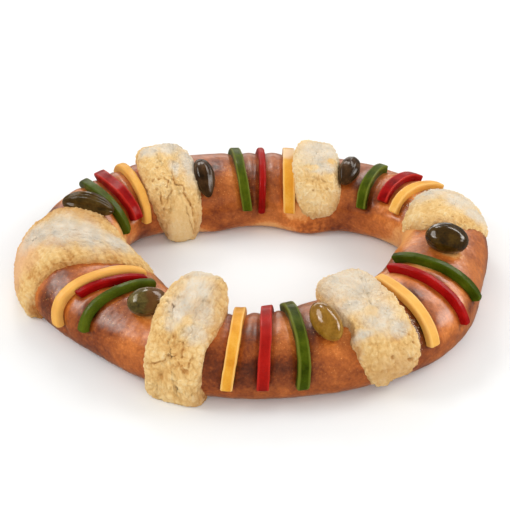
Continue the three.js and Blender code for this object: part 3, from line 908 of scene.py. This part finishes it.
# ---- fruit-paste strips
STRIP_STEPS = 84
END_ROUND = 0.8  # share of its corners' radius, plus as many mm, that a cut end is rounded by
STRIP_FOOT = -2.6  # mm, where a strip's underside lies in the bread
MM_PER_ROLL = 0.85  # along a strip, roughly
CORNER_STEPS = 5
TOP_STEPS = 6
SIDE_STEPS = 3

# Corners rounder than this have no painted highlight along their top edges.
ROUND_CORNER = 1.75
# The edge colour along the strips' top corners is a painted highlight.
EDGE_HIGHLIGHT = 0.7  # how much of the edge colour the edges of the others have
DUST_SHARE = 0.6  # how much sugar dust hides where it lies
# By strip: how much of the edge colour it has all over, how much darker it is, and where sugar dust
# lies on it (turn, roll, half sizes in mm).
STRIP_PALE = {
    "yellow_1": 0.45, "yellow_2": 0.35, "yellow_4": 0.3, "yellow_5": 0.4, "red_3": 0.12, "red_6": 0.3,
    "green_1": 0.16, "green_2": 0.12,
}
STRIP_SHADE = {"yellow_1": 0.16, "red_5": -0.14}
STRIP_DUST = {"yellow_3": ((82, 78, 9, 12),), "yellow_6": ((264, 140, 6, 8),)}
STRIP_SEEDS = {"yellow": 300, "red": 350, "green": 390}
END_CURVE = np.array([0, 0.06, 0.2, 0.45, 0.75, 1])  # steps over a cut end's rounding


def bar_section():
    """A rounded bar's section: for each point, its place on the straight sides (x from -1 to 1, y from 0
    to 1), the way that its corner's radius adds to it, and how near a top corner it is."""
    corners = ((1, 0, SIDE_STEPS), (1, 1, TOP_STEPS), (-1, 1, SIDE_STEPS), (-1, 0, SIDE_STEPS))
    places = []
    for k, (x, y, steps) in enumerate(corners):
        next_x, next_y, _ = corners[(k + 1) % 4]
        for angle in np.radians(90 * (k - 1) + np.linspace(0, 90, CORNER_STEPS + 1)):
            places.append((x, y, math.cos(angle), math.sin(angle), y))
        for s in np.arange(1, steps + 1) / (steps + 1):
            place = x + s * (next_x - x), y + s * (next_y - y)
            places.append((*place, math.cos(angle), math.sin(angle), 0))
    return np.array(places).T


def build_strip(colour, index, shape, looks):
    turns, (start, end), width, thick, corner = shape
    name = f"{colour}_{index + 1}"
    seed = STRIP_SEEDS[colour] + 7 * index
    sx, sy, ox, oy, edge = bar_section()
    length = (end - start) * MM_PER_ROLL
    round_end = min(END_ROUND * (1 + corner), thick * 0.45)
    ends = round_end * END_CURVE
    straight = np.linspace(round_end, length - round_end, STRIP_STEPS)[1:-1]
    along = np.concatenate([ends, straight, length - ends[::-1]])
    to_round = np.maximum(round_end - np.minimum(along, length - along), 0)
    inset = round_end - np.sqrt(np.clip(round_end**2 - to_round**2, 0, None))
    roll = start + along / length * (end - start)
    line = np.stack([along, np.full_like(along, seed), 0 * along], 1)
    wide = width * (1 + 0.05 * noise(line, 30, seed + 1) + 0.03 * noise(line, 9, seed + 5)) - 2 * inset
    tall = thick * (1 + 0.07 * noise(line, 22, seed + 2)) - inset
    radius = np.minimum(corner, wide / 2.05)[:, None]
    turn = strip_turn(turns, roll)
    turn = turn + 0.3 * noise(line, 24, seed) / spread(turn, roll)
    x = sx * (wide[:, None] / 2 - radius) + ox * radius
    foot = (STRIP_FOOT + inset)[:, None]
    y = foot + radius + sy * (tall[:, None] - foot - 2 * radius) + oy * radius
    grid = on_loaf(turn[:, None] + x / spread(turn, roll)[:, None], roll[:, None], y)
    normals = grid_normals(grid, grid - grid.mean(1, keepdims=True), looped=1)
    grid = grid + normals * (0.12 * noise(grid, 7, seed + 3) + 0.07 * noise(grid, 2.5, seed + 4))[..., None]
    dust = covered(warp(grid, 1.5, 4, seed + 8), STRIP_DUST.get(name, ()), 0.3, lambda roll: thick)
    # Top corners get the edge colour as a painted highlight; pale strips get it all over as their own
    # colour.
    light = np.maximum(EDGE_HIGHLIGHT * edge * (corner < ROUND_CORNER), STRIP_PALE.get(name, 0))
    tone = 0.5 + 0.25 * noise(grid, 14, seed + 6) - STRIP_SHADE.get(name, 0)
    attributes = {
        "tone": np.append(tone, [0.5, 0.5]),
        "edge": np.append(np.broadcast_to(light, x.shape), [0, 0]),
        "dust": np.append(DUST_SHARE * dust, [0, 0]),
    }
    faces = tube_faces(*x.shape)
    strip = make(f"strip_{name}_piece", with_ends(grid), faces, attributes, looks, sharp=50)
    dress(strip, f"strip_{name}")


# ---- candied fruits
FRUIT_ROWS = 76
FRUIT_SPOKES = 100


def build_fruit(index, fruit, looks):
    turn, roll, (length, width, height), heading, ribs, point, bend, kind = fruit
    node = f"candied_fruit_{index + 1}"
    seed = 500 + 11 * index
    angles = np.arange(FRUIT_SPOKES) * 2 * np.pi / FRUIT_SPOKES
    polar, angle = np.meshgrid(np.linspace(0, np.pi, FRUIT_ROWS + 2)[1:-1], angles, indexing="ij")
    y = -np.cos(polar)
    sphere = 20 * np.stack([np.sin(polar) * np.cos(angle), y, np.sin(polar) * np.sin(angle)], -1)
    run = np.stack([5 * np.cos(angle), 0.35 * y, 5 * np.sin(angle)], -1)
    wrinkle = 0.6 * np.cos(RIB_COUNT * angle + 1.6 * noise(sphere, 18, seed))
    wrinkle = wrinkle + 0.8 * noise(run, 1.3, seed + 2) + 0.5 * noise(run, 0.6, seed + 3)
    radius = np.sin(polar) * (1 - point * 0.45 * smoothstep(-0.2, 1, y)) * (1 + ribs * wrinkle)
    radius = radius * (1 + 0.03 * noise(sphere, 14, seed + 1))
    local = np.stack([radius * np.cos(angle) * width, y * length, radius * np.sin(angle) * height], -1) / 2
    local = np.concatenate([local.reshape(-1, 3), [[0, -length / 2, 0], [0, length / 2, 0]]])
    local[:, 2] -= bend * (2 * local[:, 1] / length) ** 2
    over = unit(on_loaf(turn, roll + 1) - on_loaf(turn, roll - 1))
    up = unit(on_loaf(turn, roll, 1) - on_loaf(turn, roll))
    centre = on_loaf(turn, roll) + up * (height * (0.5 - FRUIT_SINK) + 0.4 * bend)
    points = centre + local @ [*turned(np.cross(over, up), over, heading), up]
    attributes = {"tone": 0.5 + 0.2 * noise(points, 9, seed + 4), "other": np.zeros(len(points))}
    if kind == "mossy":
        to_right = (points - centre)[:, 0] / 12 + 0.5 * noise(points, 6, seed + 5)
        attributes["other"] = 0.75 * smoothstep(-0.35, 0.35, to_right)
    if kind == "pod":
        attributes["other"] = 0.5 * smoothstep(0.1, 0.6, noise(points, 9, seed + 5))
    piece = make(f"{node}_piece", points, tube_faces(FRUIT_ROWS, FRUIT_SPOKES), attributes, looks)
    dress(piece, node)


# ---- loose sugar grains
# Where grains have fallen on the bread: turn, roll, spreads in degrees, how many.
GRAIN_SPOTS = (
    (307.4, 72, 0.35, 18, 420), (306.4, 40, 0.35, 12, 200), (33, 100, 1.2, 16, 220), (222, 88, 3, 8, 30),
)
GRAINS_ON_CRUST = 90
GRAIN_RADIUS = (0.2, 0.42)  # mm, from and to
GRAIN_STRETCH = (0.7, 1.2)
# The faces of an icosahedron with the corners below.
BALL_FACES = (
    (0, 11, 5), (0, 5, 1), (0, 1, 7), (0, 7, 10), (0, 10, 11), (1, 5, 9), (5, 11, 4), (11, 10, 2),
    (10, 7, 6), (7, 1, 8), (3, 9, 4), (3, 4, 2), (3, 2, 6), (3, 6, 8), (3, 8, 9), (4, 9, 5), (2, 4, 11),
    (6, 2, 10), (8, 6, 7), (9, 8, 1),
)


def build_grains(bread, crusts):
    """Small uneven balls of sugar on the bread, and on the crusts where dust lies."""
    rng = np.random.default_rng(7)
    places = []
    for turn, roll, turn_spread, roll_spread, count in GRAIN_SPOTS:
        t = rng.normal(turn, turn_spread, count)
        r = np.clip(rng.normal(roll, roll_spread, count), -40, 220)
        i = np.round(t / 360 * TURNS).astype(int) % TURNS
        j = np.round((r + FOOT_ROLL) / (180 + 2 * FOOT_ROLL) * (ROLLS - 1)).astype(int)
        places.append(bread[i, j])
    for grid, dust in crusts:
        chosen = rng.choice(dust.size, GRAINS_ON_CRUST, p=dust.ravel() / dust.sum())
        places.append(grid.reshape(-1, 3)[chosen])
    centres = np.concatenate(places)
    centres = centres + rng.normal(0, 0.25, centres.shape)
    golden = (1 + 5**0.5) / 2
    corners = [(-1, golden, 0), (1, golden, 0), (-1, -golden, 0), (1, -golden, 0)]
    ball = np.concatenate([np.roll(corners, k, axis=1) for k in range(3)])
    ball /= np.linalg.norm(ball[0])
    radius = rng.uniform(*GRAIN_RADIUS, (len(centres), 1, 1))
    stretch = rng.uniform(*GRAIN_STRETCH, (len(centres), 1, 3))
    points = centres[:, None, :] + ball * radius * stretch
    triangles = np.add.outer(len(ball) * np.arange(len(centres)), BALL_FACES).reshape(-1, 3)
    m = Looks("sugar_grains", Roughness=0.6, Base_Color=linear((214, 202, 186)))
    grains = make("sugar_grains", points, triangles.tolist(), {}, m.material, sharp=20)
    dress(grains, None)


# ---- build
# Colours of the fruit paste: dark, usual, light, at its edges (there a painted highlight), how far light
# goes in, roughness.
PASTES = {
    "yellow": ((208, 136, 38), (222, 158, 54), (232, 178, 80), (238, 194, 118), 0.1, 0.45),
    "red": ((90, 2, 3), (138, 6, 8), (164, 20, 18), (184, 46, 36), 0.25, 0.4),
    "green": ((42, 52, 4), (62, 76, 8), (84, 96, 18), (108, 116, 40), 0.2, 0.4),
}
# Of the fruits: dark, usual, light, its second colour, gloss, roughness, height of its bumps in mm.
FRUIT_KINDS = {
    "mossy": ((44, 38, 14), (84, 72, 34), (116, 104, 60), (96, 58, 28), 0.6, 0.28, 0.3),
    "pod": ((32, 24, 6), (70, 50, 16), (94, 76, 34), (50, 40, 12), 0.4, 0.36, 0.4),
    "dark_brown": ((30, 18, 6), (58, 38, 18), (88, 62, 38), (40, 30, 20), 0.4, 0.34, 0.3),
    "glossy": ((30, 21, 4), (56, 38, 7), (80, 58, 16), (40, 30, 10), 0.8, 0.2, 0.15),
    "olive": ((112, 76, 18), (142, 102, 32), (158, 122, 48), (120, 90, 30), 0.8, 0.26, 0.08),
}

bread_grid = build_bread()
paste = crust_looks()
crust_grids = []
for i, (rows, details) in enumerate(zip(CRUSTS, CRUST_DETAILS)):
    crust_grids.append(build_crust(i, rows, {**NO_DETAILS, **details}, paste))
for colour, strips in STRIPS.items():
    looks = paste_looks(f"fruit_paste_{colour}", *PASTES[colour])
    for i, shape in enumerate(strips):
        build_strip(colour, i, shape, looks)
kinds = {kind: fruit_looks(f"candied_fruit_{kind}", *values) for kind, values in FRUIT_KINDS.items()}
for i, fruit in enumerate(FRUITS):
    build_fruit(i, fruit, kinds[fruit[-1]])
build_grains(bread_grid, crust_grids)

# ---- stage, camera and light
CAMERA_ELEVATION = math.radians(35)
CAMERA_DISTANCE = 1301  # mm
CAMERA_TARGET = (-5.52 + RING_SHIFT[0], 3.71 + RING_SHIFT[1], 25)
FOCAL_PIXELS = 1.124 * CAMERA_DISTANCE  # a mm at the target is 1.124 pixels wide
PHOTO_PIXELS = 510
FLOOR = 4000  # mm, half its side
FLOOR_COLOUR = (0.86, 0.9, 0.96, 1)
LIGHT_COLOUR = (1, 0.97, 0.92)
FILL_COLOUR = (1, 0.95, 0.87, 1)
FILL = 0.76
FILL_IN_GLOSS = 0.2  # the fill that glossy surfaces mirror

# Soft boxes: name, direction, distance in m, width and height in m, power in W, then the sides of
# surfaces that they light, the matt one and the glossy one.
LIGHTS = (
    ("left", (-0.8, -0.04, 0.6), 1.6, (0.65, 0.55), 7, True, True),
    ("rear", (-0.16, 0.74, 0.66), 1.6, (0.44, 0.38), 4, True, True),
    ("right", (0.83, 0.12, 0.54), 1.6, (0.8, 0.6), 8, True, True),
    ("rear_low", (-0.15, 1, 0.16), 2.2, (2.2, 0.4), 6, True, True),
    ("left_sheen", (-0.66, 0.23, 0.64), 1.7, (1, 0.7), 10, False, True),
    ("right_sheen", (0.51, 0.57, 0.64), 1.7, (1.2, 0.6), 12, False, True),
    ("right_low_sheen", (0.88, -0.04, 0.46), 1.6, (0.8, 0.6), 6, False, True),
    ("front_fill", (0.1, -0.9, 0.45), 1.9, (1.8, 0.9), 9, True, False),
)


def stand(name, data, place, back):
    """A lamp or camera at a place, its back turned to the direction given."""
    obj = bpy.data.objects.new(name, data)
    obj.location = place
    obj.rotation_mode = "QUATERNION"
    obj.rotation_quaternion = Vector(back).to_track_quat("Z", "Y")
    bpy.context.scene.collection.objects.link(obj)
    return obj


corners = [(-FLOOR, -FLOOR, 0), (FLOOR, -FLOOR, 0), (FLOOR, FLOOR, 0), (-FLOOR, FLOOR, 0)]
floor_looks = Looks("floor", Roughness=0.9, Specular_IOR_Level=0.1, Base_Color=FLOOR_COLOUR)
floor = make("floor", corners, [(0, 1, 2, 3)], {}, floor_looks.material)
floor.visible_glossy = False

camera_data = bpy.data.cameras.new("camera")
camera_data.sensor_width = 36
camera_data.lens = FOCAL_PIXELS * camera_data.sensor_width / PHOTO_PIXELS
camera_data.clip_start, camera_data.clip_end = 0.05, 20
back = Vector((0, -math.cos(CAMERA_ELEVATION), math.sin(CAMERA_ELEVATION)))
camera_place = Vector(CAMERA_TARGET) * MM + back * CAMERA_DISTANCE * MM
bpy.context.scene.camera = stand("camera", camera_data, camera_place, back)

for name, direction, distance, size, power, lights_matt, lights_gloss in LIGHTS:
    data = bpy.data.lights.new(name, "AREA")
    data.shape = "ELLIPSE"
    data.size, data.size_y = size
    data.energy = power
    data.color = LIGHT_COLOUR
    light = stand(name, data, Vector(direction).normalized() * distance, direction)
    light.visible_diffuse = lights_matt
    light.visible_glossy = lights_gloss

world = bpy.data.worlds.new("world")
bpy.context.scene.world = world
world.use_nodes = True
background = world.node_tree.nodes["Background"]
background.inputs["Color"].default_value = FILL_COLOUR
ray = world.node_tree.nodes.new("ShaderNodeLightPath")
strength = world.node_tree.nodes.new("ShaderNodeMapRange")
strength.inputs["To Min"].default_value = FILL
strength.inputs["To Max"].default_value = FILL_IN_GLOSS
world.node_tree.links.new(ray.outputs["Is Glossy Ray"], strength.inputs["Value"])
world.node_tree.links.new(strength.outputs["Result"], background.inputs["Strength"])
bpy.context.scene.view_settings.view_transform = "Standard"
bpy.context.scene.view_settings.look = "None"
